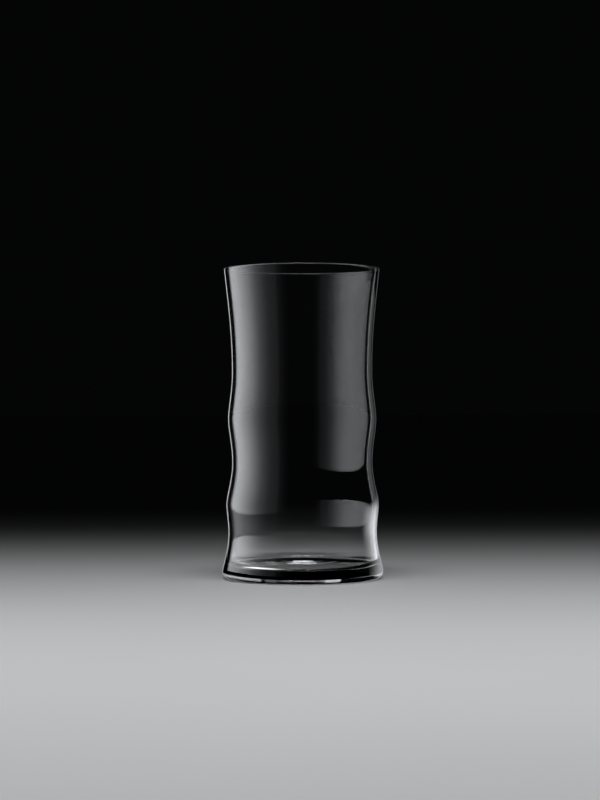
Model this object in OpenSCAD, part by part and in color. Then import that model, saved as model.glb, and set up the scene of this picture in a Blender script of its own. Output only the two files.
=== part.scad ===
// Clear water glass. Its thin blown wall swells twice between three waists, flares out to a
// fire-polished lip, and widens below into a foot with a pushed-up base. Sizes are in millimetres
// and angles in degrees. The glass stands on the plane z = 0 with its axis along +Z.

/* [Overall] */
// Height from the table to the top of the lip
height = 140; // [125:0.5:160]
// Widest diameter of the lip
rim_d = 70.5; // [66:0.1:78]
// Widest diameter of the foot
foot_d = 73; // [70:0.1:80]

/* [Wall outline] */
// Diameter of the ankle, the waist just above the foot
ankle_d = 67.2; // [62:0.1:69]
// Height of the ankle
ankle_z = 20.5; // [17:0.1:26]
// Diameter of the lower swell
lower_swell_d = 69; // [66:0.1:74]
// Height of the lower swell
lower_swell_z = 32.8; // [29:0.1:40]
// Diameter of the middle waist
middle_waist_d = 63.6; // [58:0.1:68]
// Height of the middle waist
middle_waist_z = 52.2; // [46:0.1:60]
// Diameter of the upper swell
upper_swell_d = 67.2; // [64:0.1:74]
// Height of the upper swell
upper_swell_z = 71.6; // [64:0.1:80]
// Diameter of the upper waist
upper_waist_d = 63.6; // [58:0.1:68]
// Height of the upper waist
upper_waist_z = 93.2; // [85:0.1:104]
// How long each waist stays nearly upright, as a share of the stretch beside it
waist_ease = 0.4; // [0.2:0.01:0.6]
// How long each swell stays nearly upright, as a share of the stretch beside it
swell_ease = 0.25; // [0.1:0.01:0.5]

/* [Lip] */
// Thickness of the glass at the lip
rim_t = 0.9; // [0.7:0.05:2]
// Height of the straight lip band
rim_h = 2; // [1.5:0.1:5]
// Outward lean of the lip band
rim_lean = 6; // [0:0.5:15]
// How long the flare keeps the lean of the lip, as a share of the flare
flare_ease = 0.35; // [0.1:0.01:0.6]

/* [Foot and base] */
// Thickness of the wall at the ankle
wall_t = 1.6; // [1:0.05:3]
// Thickness of the glass in the middle of the base
base_t = 2.7; // [2:0.1:6]
// Radius of the rounded outer edge of the foot
foot_edge_r = 2.9; // [1.5:0.1:4.5]
// Lean of the foot just above its rounded edge
foot_lean = 6.5; // [2:0.5:15]
// How long the foot keeps its lean, outside and in the hollow, as a share of its flare
foot_ease = 0.17; // [0.05:0.01:0.5]
// Width of the flat ring that the glass rests on
rest_w = 2.4; // [1:0.1:5]
// Radius of the rounded inner edge of that ring
rest_edge_r = 2.5; // [1:0.1:5]
// Height of the punt, the hollow under the base
punt_h = 4.4; // [2:0.1:6]
// Level thickness of the glass between the hollow and the edge of the foot
foot_t = 3.1; // [2.5:0.1:6]
// Lean of the hollow just above the inside corner
hollow_lean = 6; // [1:0.5:10]
// Radius of the inside corner between the wall and the floor
corner_r = 3.2; // [1.5:0.1:6]
// Rise of the domed floor from the inside corner to the middle
floor_rise = 2.2; // [0.5:0.1:3.5]

/* [Hidden] */
$fn = 96;

// Points along each curved stretch and each rounded edge
curve_steps = 10;
arc_steps = 8;

// Clear glass looks deeper in colour where it is thick
base_tint = [0.74, 0.84, 0.86, 0.55];
wall_tint = [0.84, 0.90, 0.92, 0.40];
rim_tint = [0.88, 0.93, 0.95, 0.50];

// Outline points are [radius, height]
ankle = [ankle_d / 2, ankle_z];
lower_swell = [lower_swell_d / 2, lower_swell_z];
middle_waist = [middle_waist_d / 2, middle_waist_z];
upper_swell = [upper_swell_d / 2, upper_swell_z];
upper_waist = [upper_waist_d / 2, upper_waist_z];

// The lip is a half round on the end of the leaning band
lip_r = rim_t / 2;
lip_centre = [rim_d / 2 - lip_r, height - lip_r];
lip_outside = lip_centre + lip_r * [cos(rim_lean), -sin(rim_lean)];
rim_z = height - rim_h;
rim_start = [lip_outside.x - (lip_outside.y - rim_z) * tan(rim_lean), rim_z];

// The rounded foot edge runs from the resting ring to the start of the flare
foot_edge_centre = [foot_d / 2 - foot_edge_r, foot_edge_r];
foot_start = foot_edge_centre + foot_edge_r * [cos(foot_lean), sin(foot_lean)];

// Slope at which a dome leaves the rounded ring at its edge, when it rises this far over that ring
function dome_slope(rise, ring_r) = 2 * atan(rise / ring_r);

// The punt is a shallow dome that starts from the rounded inner edge of the resting ring
rest_edge_centre = [foot_edge_centre.x - rest_w, rest_edge_r];
punt_slope = dome_slope(punt_h, rest_edge_centre.x);

// The hollow ends in a rounded inside corner, and the floor is a shallow dome inside that
hollow_start = ankle - [wall_t, 0];
corner_centre = [foot_d / 2 - foot_t - corner_r, punt_h + base_t - floor_rise + corner_r];
floor_slope = dome_slope(floor_rise, corner_centre.x);

// Point on a cubic curve with four control points, and its lean, the change of radius with height
function curve_point(p, t) =
    pow(1 - t, 3) * p[0] + 3 * pow(1 - t, 2) * t * p[1] + 3 * (1 - t) * t * t * p[2] + pow(t, 3) * p[3];
function curve_lean(p, t) =
    let (d = pow(1 - t, 2) * (p[1] - p[0]) + 2 * (1 - t) * t * (p[2] - p[1]) + t * t * (p[3] - p[2]))
    d.x / d.y;

// Stretch of wall from a to b that stands upright at both, with an ease at each end
function upright_stretch(a, b, ease_a, ease_b) =
    let (rise = b.y - a.y) [a, a + [0, ease_a * rise], b - [0, ease_b * rise], b];

// Stretch that stands upright at a and leans outwards by an angle at b
function leaning_stretch(a, b, ease_a, ease_b, angle) =
    let (rise = b.y - a.y) [a, a + [0, ease_a * rise], b - ease_b * rise * [tan(angle), 1], b];

wall_curves = [
    upright_stretch(ankle, lower_swell, waist_ease, swell_ease),
    upright_stretch(lower_swell, middle_waist, swell_ease, waist_ease),
    upright_stretch(middle_waist, upper_swell, waist_ease, swell_ease),
    upright_stretch(upper_swell, upper_waist, swell_ease, waist_ease),
    leaning_stretch(upper_waist, rim_start, waist_ease, flare_ease, rim_lean)
];

// The foot's flare, followed downwards from the ankle to its rounded edge
foot_curve = leaning_stretch(ankle, foot_start, waist_ease, foot_ease, -foot_lean);

// Points of an arc, from one angle to another, without those before the first step
function arc(centre, r, from, to, first = 0) =
    [for (i = [first:arc_steps])
        let (a = from + (to - from) * i / arc_steps) centre + r * [cos(a), sin(a)]];

// Points of a dome that has this slope at its edge, from just inside the edge to the axis
function dome(edge, slope) =
    let (sphere_r = edge.x / sin(slope), centre = [0, edge.y - sphere_r * cos(slope)])
    arc(centre, sphere_r, 90 - slope, 90, 1);

// The same points in the opposite order
function backwards(points) = [for (i = [len(points) - 1:-1:0]) points[i]];

// Wall thickness, square to the surface, thins steadily from the ankle to the lip band
function wall_thickness(z) = wall_t + (rim_t - wall_t) * (z - ankle_z) / (rim_z - ankle_z);

// Level width of a wall of thickness t that leans by the given change of radius with height
function level_width(t, lean) = t * sqrt(1 + lean * lean);

// Wall point at a share t of curve c, on the outside or on the inside
function wall_outside(c, t) = curve_point(c, t);
function wall_inside(c, t) =
    let (p = curve_point(c, t)) p - [level_width(wall_thickness(p.y), curve_lean(c, t)), 0];

module turned(points) {
    rotate_extrude() polygon(points);
}

// Flared foot: punt, resting ring, rounded edge, flare, hollow, inside corner and domed floor
module base() {
    rest_edge = arc(rest_edge_centre, rest_edge_r, -90 - punt_slope, -90);
    punt = backwards(dome(rest_edge[0], punt_slope));
    edge = arc(foot_edge_centre, foot_edge_r, -90, foot_lean);
    flare = [for (i = [curve_steps - 1:-1:0]) curve_point(foot_curve, i / curve_steps)];
    corner = arc(corner_centre, corner_r, hollow_lean, -90 - floor_slope);
    hollow_curve = leaning_stretch(hollow_start, corner[0], waist_ease, foot_ease, -hollow_lean);
    hollow = [for (i = [0:curve_steps - 1]) curve_point(hollow_curve, i / curve_steps)];
    floor_dome = dome(corner[arc_steps], floor_slope);
    color(base_tint) turned(concat(punt, rest_edge, edge, flare, hollow, corner, floor_dome));
}

// Thin blown wall from the ankle to the lip band
module wall() {
    shares = [for (i = [0:curve_steps - 1]) i / curve_steps];
    last = wall_curves[len(wall_curves) - 1];
    outside = concat([for (c = wall_curves, t = shares) wall_outside(c, t)], [wall_outside(last, 1)]);
    inside = concat([for (c = wall_curves, t = shares) wall_inside(c, t)], [wall_inside(last, 1)]);
    color(wall_tint) turned(concat(outside, backwards(inside)));
}

// Lip band with its rounded edge
module rim() {
    lip = arc(lip_centre, lip_r, -rim_lean, 180 - rim_lean);
    inside = rim_start - [level_width(rim_t, tan(rim_lean)), 0];
    color(rim_tint) turned(concat([rim_start], lip, [inside]));
}

base();
wall();
rim();
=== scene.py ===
"""Clear water glass on a plain pale floor, lit by soft studio panels, as a Blender scene in metres."""

import math

import bpy
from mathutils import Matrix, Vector


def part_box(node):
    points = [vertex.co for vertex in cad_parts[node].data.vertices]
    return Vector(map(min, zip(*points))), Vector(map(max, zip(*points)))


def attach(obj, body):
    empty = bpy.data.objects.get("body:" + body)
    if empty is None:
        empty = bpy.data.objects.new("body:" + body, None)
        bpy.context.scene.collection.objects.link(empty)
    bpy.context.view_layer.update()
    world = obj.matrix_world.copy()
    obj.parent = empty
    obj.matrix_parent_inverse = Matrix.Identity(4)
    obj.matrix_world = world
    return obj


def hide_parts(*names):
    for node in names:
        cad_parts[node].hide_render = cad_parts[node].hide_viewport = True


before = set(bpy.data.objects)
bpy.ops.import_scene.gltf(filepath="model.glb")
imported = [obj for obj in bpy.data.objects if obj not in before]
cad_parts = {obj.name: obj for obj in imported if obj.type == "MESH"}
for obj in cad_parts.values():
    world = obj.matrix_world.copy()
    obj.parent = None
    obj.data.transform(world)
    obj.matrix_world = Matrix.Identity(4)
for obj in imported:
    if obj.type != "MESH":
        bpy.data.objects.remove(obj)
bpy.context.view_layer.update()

MM = 0.001

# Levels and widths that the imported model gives
BASE_LOW, BASE_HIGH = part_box("base")
RIM_LOW, RIM_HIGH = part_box("rim")
HEIGHT = RIM_HIGH.z
FOOT_R = min(BASE_HIGH.x, BASE_HIGH.y, -BASE_LOW.x, -BASE_LOW.y)
RIM_R = min(RIM_HIGH.x, RIM_HIGH.y, -RIM_LOW.x, -RIM_LOW.y)
ANKLE_Z = BASE_HIGH.z
RIM_Z = RIM_LOW.z

# Wall outline between the ankle and the lip band: radius and height of each waist and swell
ANKLE = (33.6 * MM, ANKLE_Z)
LOWER_SWELL = (34.5 * MM, 32.8 * MM)
MIDDLE_WAIST = (31.8 * MM, 52.2 * MM)
UPPER_SWELL = (33.6 * MM, 71.6 * MM)
UPPER_WAIST = (31.8 * MM, 93.2 * MM)
WAIST_EASE = 0.40
SWELL_EASE = 0.25

# Lip, foot and base
RIM_T = 0.9 * MM
RIM_LEAN = math.radians(6.0)
FLARE_EASE = 0.35
WALL_T = 1.6 * MM
FOOT_EDGE_R = 2.9 * MM
FOOT_LEAN = math.radians(6.5)
FOOT_EASE = 0.17
REST_W = 2.4 * MM
REST_EDGE_R = 2.5 * MM
PUNT_H = 4.4 * MM
BASE_T = 2.7 * MM
FOOT_T = 3.1 * MM
HOLLOW_LEAN = math.radians(6.0)
CORNER_R = 3.2 * MM
FLOOR_RISE = 2.2 * MM

# Rings in the floor: their height to each side and their spacing
RIPPLE_H = 0.045 * MM
RIPPLE_L = 5.6 * MM

# Mesh density: points along each curve, arc and rippled floor, and steps around the axis
CURVE_STEPS = 24
ARC_STEPS = 14
RIPPLE_STEPS = 80
TURN_STEPS = 224

# The photograph's frame and level view: scale at the glass, place of the camera and height at mid-image
IMAGE_H = 800
PIXELS_PER_M = 2205.0
VIEW_DISTANCE = 0.85
VIEW_PLACE = Vector((-0.0010, -VIEW_DISTANCE, 0.078))
VIEW_ROLL = math.radians(0.18)
MIDDLE_Z = 0.0804
SENSOR = 36.0

# Floor: half of its width, and how far it lies below the glass
FLOOR_HALF = 14.0
FLOOR_DROP = 0.2 * MM

# Slightly cool white of the lamps that light the glass alone
COOL = (0.975, 0.995, 1.03)

# What is left of a lamp in mirror images on the outer face of the near wall, on the inner face of that wall
# and on all that is seen through it
EVERYWHERE = (1.0, 1.0, 1.0)
DIM_BEHIND = (1.0, 0.47, 0.47)
INNER_FACE_ONLY = (0.0, 0.47, 0.0)
NEAR_WALL_ONLY = (1.0, 1.0, 0.0)
BEHIND_ONLY = (0.0, 0.0, 1.0)

# Large left panel: the azimuth that it faces, its distance, and the heights of its lower and upper edges.
# A lower part, and a rear part that is set a little behind it, carry its light on.
LEFT_FACING = 64.0
LEFT_DISTANCE = 0.10
LEFT_EDGES = (0.015, 0.45)
LOWER_EDGES = (-0.30, 0.015)
REAR_DISTANCE = 0.105

# Radiance of the shaded lamps at places from front to rear, in metres from where each is square to the axis
LEFT_PROFILE = (
    (-0.10, 0.0), (-0.08, 0.023), (-0.061, 0.075), (-0.058, 0.155), (-0.0455, 0.20),
    (-0.03, 0.28), (-0.01, 0.67), (0.0, 1.03), (0.02, 1.94), (0.04, 2.57),
    (0.07, 2.75), (0.10, 2.52), (0.18, 1.70), (0.21, 0.95), (0.26, 0.0),
)
REAR_PROFILE = ((0.17, 0.0), (0.21, 0.35), (0.26, 0.75), (0.34, 0.60), (0.60, 0.45), (0.68, 0.0))
CARD_PROFILE = ((-0.115, 0.0), (-0.0785, 0.9), (-0.054, 1.45), (-0.023, 1.15), (0.012, 0.65), (0.06, 0.5))


def curve_point(p, t):
    """Point and direction of a cubic curve with four control points."""
    s = 1.0 - t
    weights = (s ** 3, 3 * s * s * t, 3 * s * t * t, t ** 3)
    point = tuple(sum(w * q[k] for w, q in zip(weights, p)) for k in (0, 1))
    steps = (s * s, 2 * s * t, t * t)
    along = tuple(sum(w * (b[k] - a[k]) for w, a, b in zip(steps, p, p[1:])) for k in (0, 1))
    return point, along


def stretch(a, b, ease_a, ease_b, lean_b=0.0):
    """Control points of a stretch of outline that is upright at a and leans by lean_b at b."""
    rise = b[1] - a[1]
    near_a = (a[0], a[1] + ease_a * rise)
    near_b = (b[0] - ease_b * rise * math.tan(lean_b), b[1] - ease_b * rise)
    return (a, near_a, near_b, b)


def arc(centre, radius, start, end, steps=ARC_STEPS):
    """Points of an arc between two angles."""
    angles = [start + (end - start) * i / steps for i in range(steps + 1)]
    return [(centre[0] + radius * math.cos(a), centre[1] + radius * math.sin(a)) for a in angles]


def dome(edge, slope, steps=ARC_STEPS):
    """Points of a shallow dome, from just inside its edge point to the axis, by its slope at the edge."""
    sphere_r = edge[0] / math.sin(slope)
    centre_z = edge[1] - sphere_r * math.cos(slope)
    return arc((0.0, centre_z), sphere_r, math.pi / 2 - slope, math.pi / 2, steps)[1:]


def rippled(points):
    """The same floor with the faint rings that turning leaves in soft glass, which fade out at its edge."""
    edge_r = points[0][0]
    ripples = []
    for r, z in points:
        fade = min(1.0, (edge_r - r) / RIPPLE_L)
        ripples.append((r, z + fade * RIPPLE_H * math.cos(math.tau * r / RIPPLE_L)))
    return ripples


def dome_slope(rise, ring_r):
    """Slope at which a dome leaves the rounded ring below it, when it rises this far over the ring."""
    return 2 * math.atan(rise / ring_r)


def wall_thickness(z):
    """Thickness square to the wall, which thins steadily from the ankle to the lip band."""
    return WALL_T + (RIM_T - WALL_T) * (z - ANKLE_Z) / (RIM_Z - ANKLE_Z)


def glass_outline():
    """Closed half section of the glass, from the middle of the punt out, up, over the lip and back inside."""
    lip_r = RIM_T / 2
    lip_centre = (RIM_R - lip_r, HEIGHT - lip_r)
    lip_outside_z = lip_centre[1] - lip_r * math.sin(RIM_LEAN)
    lip_outside_r = lip_centre[0] + lip_r * math.cos(RIM_LEAN)
    rim_start = (lip_outside_r - (lip_outside_z - RIM_Z) * math.tan(RIM_LEAN), RIM_Z)

    foot_centre = (FOOT_R - FOOT_EDGE_R, FOOT_EDGE_R)
    foot_edge = arc(foot_centre, FOOT_EDGE_R, -math.pi / 2, FOOT_LEAN)
    rest_r = foot_centre[0] - REST_W
    punt_slope = dome_slope(PUNT_H, rest_r)
    rest_edge = arc((rest_r, REST_EDGE_R), REST_EDGE_R, -math.pi / 2 - punt_slope, -math.pi / 2)
    punt = dome(rest_edge[0], punt_slope)[::-1]

    foot_curve = stretch(ANKLE, foot_edge[-1], WAIST_EASE, FOOT_EASE, -FOOT_LEAN)
    flare = [curve_point(foot_curve, i / CURVE_STEPS)[0] for i in range(CURVE_STEPS - 1, 0, -1)]

    curves = (
        stretch(ANKLE, LOWER_SWELL, WAIST_EASE, SWELL_EASE),
        stretch(LOWER_SWELL, MIDDLE_WAIST, SWELL_EASE, WAIST_EASE),
        stretch(MIDDLE_WAIST, UPPER_SWELL, WAIST_EASE, SWELL_EASE),
        stretch(UPPER_SWELL, UPPER_WAIST, SWELL_EASE, WAIST_EASE),
        stretch(UPPER_WAIST, rim_start, WAIST_EASE, FLARE_EASE, RIM_LEAN),
    )
    outside, inside = [], []
    for curve in curves:
        for i in range(CURVE_STEPS):
            (r, z), (dr, dz) = curve_point(curve, i / CURVE_STEPS)
            outside.append((r, z))
            inside.append((r - wall_thickness(z) * math.hypot(1.0, dr / dz), z))
    outside.append(rim_start)
    inside.append((rim_start[0] - RIM_T / math.cos(RIM_LEAN), RIM_Z))
    lip = arc(lip_centre, lip_r, -RIM_LEAN, math.pi - RIM_LEAN)

    moat_r = FOOT_R - FOOT_T - CORNER_R
    moat_z = PUNT_H + BASE_T - FLOOR_RISE
    floor_slope = dome_slope(FLOOR_RISE, moat_r)
    corner = arc((moat_r, moat_z + CORNER_R), CORNER_R, HOLLOW_LEAN, -math.pi / 2 - floor_slope)
    hollow_curve = stretch(inside[0], corner[0], WAIST_EASE, FOOT_EASE, -HOLLOW_LEAN)
    hollow = [curve_point(hollow_curve, i / CURVE_STEPS)[0] for i in range(1, CURVE_STEPS)]
    floor = rippled(dome(corner[-1], floor_slope, RIPPLE_STEPS))
    return punt + rest_edge + foot_edge + flare + outside + lip + inside[::-1] + hollow + corner + floor


def turned_mesh(name, outline):
    """Closed mesh turned around the axis, with one vertex on the axis at each end of the outline."""
    first, rings, last = outline[0], outline[1:-1], outline[-1]
    turns = [(math.cos(a), math.sin(a)) for a in (math.tau * k / TURN_STEPS for k in range(TURN_STEPS))]
    vertices = [(r * c, r * s, z) for r, z in rings for c, s in turns]
    bottom, top = len(vertices), len(vertices) + 1
    vertices += [(0.0, 0.0, first[1]), (0.0, 0.0, last[1])]
    faces = []
    for k in range(TURN_STEPS):
        after = (k + 1) % TURN_STEPS
        for i in range(len(rings) - 1):
            low, high = i * TURN_STEPS, (i + 1) * TURN_STEPS
            faces.append((low + k, low + after, high + after, high + k))
        end = (len(rings) - 1) * TURN_STEPS
        faces.append((after, k, bottom))
        faces.append((end + k, end + after, top))
    mesh = bpy.data.meshes.new(name)
    mesh.from_pydata(vertices, [], faces)
    mesh.shade_smooth()
    return mesh


def clear_glass():
    """Colourless glass of faintly uneven tint, with faint wiping marks and a cool tint where it is thick."""
    material = bpy.data.materials.new("clear_glass")
    material.use_nodes = True
    nodes, links = material.node_tree.nodes, material.node_tree.links
    shader = nodes["Principled BSDF"]
    shader.inputs["Transmission Weight"].default_value = 1.0
    shader.inputs["IOR"].default_value = 1.52
    place = nodes.new("ShaderNodeTexCoord")

    tint = nodes.new("ShaderNodeTexNoise")
    tint.inputs["Scale"].default_value = 40.0
    tint_ramp = nodes.new("ShaderNodeValToRGB")
    tint_ramp.color_ramp.elements[0].color = (0.985, 0.992, 0.994, 1.0)
    tint_ramp.color_ramp.elements[1].color = (1.0, 1.0, 1.0, 1.0)
    links.new(place.outputs["Object"], tint.inputs["Vector"])
    links.new(tint.outputs["Fac"], tint_ramp.inputs["Fac"])
    links.new(tint_ramp.outputs["Color"], shader.inputs["Base Color"])

    wiping = nodes.new("ShaderNodeTexNoise")
    wiping.inputs["Scale"].default_value = 90.0
    wiping.inputs["Detail"].default_value = 4.0
    wiping_range = nodes.new("ShaderNodeMapRange")
    wiping_range.inputs["From Min"].default_value = 0.45
    wiping_range.inputs["From Max"].default_value = 0.75
    wiping_range.inputs["To Min"].default_value = 0.0
    wiping_range.inputs["To Max"].default_value = 0.006
    links.new(place.outputs["Object"], wiping.inputs["Vector"])
    links.new(wiping.outputs["Fac"], wiping_range.inputs["Value"])
    links.new(wiping_range.outputs["Result"], shader.inputs["Roughness"])

    absorption = nodes.new("ShaderNodeVolumeAbsorption")
    absorption.inputs["Color"].default_value = (0.86, 0.95, 0.97, 1.0)
    absorption.inputs["Density"].default_value = 4.0
    links.new(absorption.outputs["Volume"], nodes["Material Output"].inputs["Volume"])
    return material


def glass():
    """The whole glass as one continuous piece, in place of the three solids that meet face to face."""
    piece = bpy.data.objects.new("glass", turned_mesh("glass", glass_outline()))
    bpy.context.scene.collection.objects.link(piece)
    piece.data.materials.append(clear_glass())
    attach(piece, "root")
    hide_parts("base", "wall", "rim")
    return piece


def maths(tree, operation, a, b):
    """Output of a Math node whose two inputs are numbers or sockets."""
    node = tree.nodes.new("ShaderNodeMath")
    node.operation = operation
    for socket, value in zip(node.inputs, (a, b)):
        if isinstance(value, float):
            socket.default_value = value
        else:
            tree.links.new(value, socket)
    return node.outputs["Value"]


def mirrored(tree, once=False):
    """1 for light that the glass mirrors, or mirrors only once, and 0 for all other light."""
    times = tree.nodes.new("ShaderNodeLightPath").outputs["Glossy Depth"]
    at_all = maths(tree, "GREATER_THAN", times, 0.5)
    if not once:
        return at_all
    return maths(tree, "MULTIPLY", at_all, maths(tree, "LESS_THAN", times, 1.5))


def floor_material():
    """Pale matte floor, seen directly and through the glass but left out of the glass's mirror images."""
    material = bpy.data.materials.new("pale_floor")
    material.use_nodes = True
    nodes, links = material.node_tree.nodes, material.node_tree.links
    shader = nodes["Principled BSDF"]
    place = nodes.new("ShaderNodeTexCoord")
    mottle = nodes.new("ShaderNodeTexNoise")
    mottle.inputs["Scale"].default_value = 6.0
    ramp = nodes.new("ShaderNodeValToRGB")
    ramp.color_ramp.elements[0].color = (0.70, 0.71, 0.72, 1.0)
    ramp.color_ramp.elements[1].color = (0.74, 0.75, 0.76, 1.0)
    links.new(place.outputs["Object"], mottle.inputs["Vector"])
    links.new(mottle.outputs["Fac"], ramp.inputs["Fac"])
    links.new(ramp.outputs["Color"], shader.inputs["Base Color"])
    shader.inputs["Roughness"].default_value = 0.6

    unseen = nodes.new("ShaderNodeBsdfTransparent")
    choice = nodes.new("ShaderNodeMixShader")
    links.new(mirrored(material.node_tree), choice.inputs["Fac"])
    links.new(shader.outputs["BSDF"], choice.inputs[1])
    links.new(unseen.outputs["BSDF"], choice.inputs[2])
    links.new(choice.outputs["Shader"], nodes["Material Output"].inputs["Surface"])
    return material


def pale_floor():
    """Wide level floor just below the glass, which is no piece of it."""
    mesh = bpy.data.meshes.new("floor")
    h = FLOOR_HALF
    mesh.from_pydata([(-h, -h, 0), (h, -h, 0), (h, h, 0), (-h, h, 0)], [], [(0, 1, 2, 3)])
    floor = bpy.data.objects.new("floor", mesh)
    floor.location.z = BASE_LOW.z - FLOOR_DROP
    bpy.context.scene.collection.objects.link(floor)
    mesh.materials.append(floor_material())


def panel(name, centre, facing, size, radiance, spread=math.pi):
    """Soft rectangular panel that isn't seen directly. Its radiance is the brightness seen in a mirror."""
    lamp = bpy.data.lights.new(name, "AREA")
    lamp.shape = "RECTANGLE"
    lamp.size, lamp.size_y = size
    lamp.energy = radiance * math.pi * size[0] * size[1]
    lamp.spread = spread
    light = bpy.data.objects.new(name, lamp)
    light.location = centre
    light.rotation_euler = Vector(facing).to_track_quat("-Z", "Y").to_euler()
    light.visible_camera = False
    bpy.context.scene.collection.objects.link(light)
    return light


def spare_the_floor(light, piece):
    """Lets a lamp light one piece alone, as a flag set beside the lamp keeps its light off the floor."""
    receivers = bpy.data.collections.new(light.name + "_receivers")
    receivers.objects.link(piece)
    light.light_linking.receiver_collection = receivers


def side_panel(name, side, facing, distance, edges, profile, shares=EVERYWHERE, fade=0.01):
    """Upright panel on one side, square to an azimuth that is counted from the camera's side.

    The profile gives its radiance at places from front to rear, and the light changes evenly between them. At
    the top it fades out over a share of its height. It shows in single mirror images, by the shares given.
    """
    low, top = edges
    a = math.radians(facing)
    outwards = Vector((side * math.sin(a), -math.cos(a), 0.0))
    rearwards = Vector((side * math.cos(a), math.sin(a), 0.0))
    front, rear = profile[0][0], profile[-1][0]
    middle = outwards * distance + rearwards * (front + rear) / 2 + Vector((0, 0, (low + top) / 2))
    light = panel(name, middle, -outwards, (rear - front, top - low), 1.0)

    light.data.use_nodes = True
    tree = light.data.node_tree
    emission = tree.nodes["Emission"]
    place = tree.nodes.new("ShaderNodeNewGeometry")
    split = tree.nodes.new("ShaderNodeSeparateXYZ")
    ramp = tree.nodes.new("ShaderNodeValToRGB")
    tree.links.new(place.outputs["Parametric"], split.inputs["Vector"])
    tree.links.new(split.outputs["X"], ramp.inputs["Fac"])
    tree.links.new(ramp.outputs["Color"], emission.inputs["Color"])
    rise = tree.nodes.new("ShaderNodeMapRange")
    rise.inputs["From Min"].default_value = 1.0
    rise.inputs["From Max"].default_value = 1.0 - fade
    tree.links.new(split.outputs["Y"], rise.inputs["Value"])
    path = tree.nodes.new("ShaderNodeLightPath")
    outer, inner, behind = shares
    share = outer
    for faces_passed, change in ((1.5, inner - outer), (3.5, behind - inner)):
        passed = maths(tree, "GREATER_THAN", path.outputs["Transmission Depth"], faces_passed)
        share = maths(tree, "ADD", maths(tree, "MULTIPLY", passed, change), share)
    strength = maths(tree, "MULTIPLY", rise.outputs["Result"], mirrored(tree, once=True))
    tree.links.new(maths(tree, "MULTIPLY", strength, share), emission.inputs["Strength"])

    levels = [((p - front) / (rear - front), radiance) for p, radiance in profile]
    if side < 0:
        levels = [(1.0 - position, radiance) for position, radiance in reversed(levels)]
    stops = ramp.color_ramp.elements
    while len(stops) < len(levels):
        stops.new(0.5)
    for stop, (position, radiance) in zip(stops, levels):
        stop.position = position
        stop.color = [radiance * tint for tint in COOL] + [1.0]
    return light


def lights(piece):
    """Panels that light the glass alone, two soft lamps over the floor, and a nearly dark backdrop."""
    # Name, side, azimuth, distance, lower and upper edges, and radiance from front to rear
    glass_lights = (
        side_panel("left_panel", -1, LEFT_FACING, LEFT_DISTANCE, LEFT_EDGES, LEFT_PROFILE, DIM_BEHIND),
        side_panel("left_rear", -1, LEFT_FACING, REAR_DISTANCE, LEFT_EDGES, REAR_PROFILE, BEHIND_ONLY),
        side_panel("left_low", -1, LEFT_FACING, LEFT_DISTANCE, LOWER_EDGES, LEFT_PROFILE, INNER_FACE_ONLY),
        side_panel("right_strip", 1, 134, 0.30, (-0.13, 0.13), ((-0.032, 0.10), (0.032, 0.10), (0.08, 0.05))),
        side_panel("right_card", 1, 140, 0.13, (-0.04, 0.038), CARD_PROFILE, NEAR_WALL_ONLY, 0.4),
        side_panel("left_edge", -1, 165, 1.20, (-0.60, 0.90), ((-0.09, 0.8), (0.09, 0.8))),
        side_panel("right_edge", 1, 164, 1.20, (-0.60, 0.90), ((-0.07, 0.12), (0.07, 0.12))),
        side_panel("back_strip", 1, 180, 2.50, (0.59, 0.73), ((-0.08, 5.0), (0.08, 5.0)), BEHIND_ONLY),
        panel("overhead", (0.0, 0.0, 0.9), (0, 0, -1), (1.3, 1.3), 0.4),
    )
    for light in glass_lights:
        spare_the_floor(light, piece)
    panel("pool", (0.0, -0.26, 1.2), (0, 0, -1), (2.4, 0.3), 1.15, math.radians(46))
    panel("fill", (0.0, -1.0, 1.8), (0, 0, -1), (2.4, 1.2), 0.45, math.radians(60))
    world = bpy.data.worlds.new("studio")
    world.use_nodes = True
    world.node_tree.nodes["Background"].inputs["Color"].default_value = (0.0014, 0.0015, 0.0017, 1.0)
    bpy.context.scene.world = world


def camera():
    """Level view from the photograph's distance and height, with the long side of the image upright."""
    lens = bpy.data.cameras.new("camera")
    lens.sensor_width = SENSOR
    lens.lens = SENSOR * VIEW_DISTANCE * PIXELS_PER_M / IMAGE_H
    lens.shift_y = (MIDDLE_Z - VIEW_PLACE.z) * PIXELS_PER_M / IMAGE_H
    lens.clip_end = 100.0
    view = bpy.data.objects.new("camera", lens)
    view.location = VIEW_PLACE
    view.rotation_euler = (math.pi / 2, VIEW_ROLL, 0.0)
    bpy.context.scene.collection.objects.link(view)
    bpy.context.scene.camera = view


camera()
pale_floor()
lights(glass())
bpy.context.scene.view_settings.view_transform = "Standard"
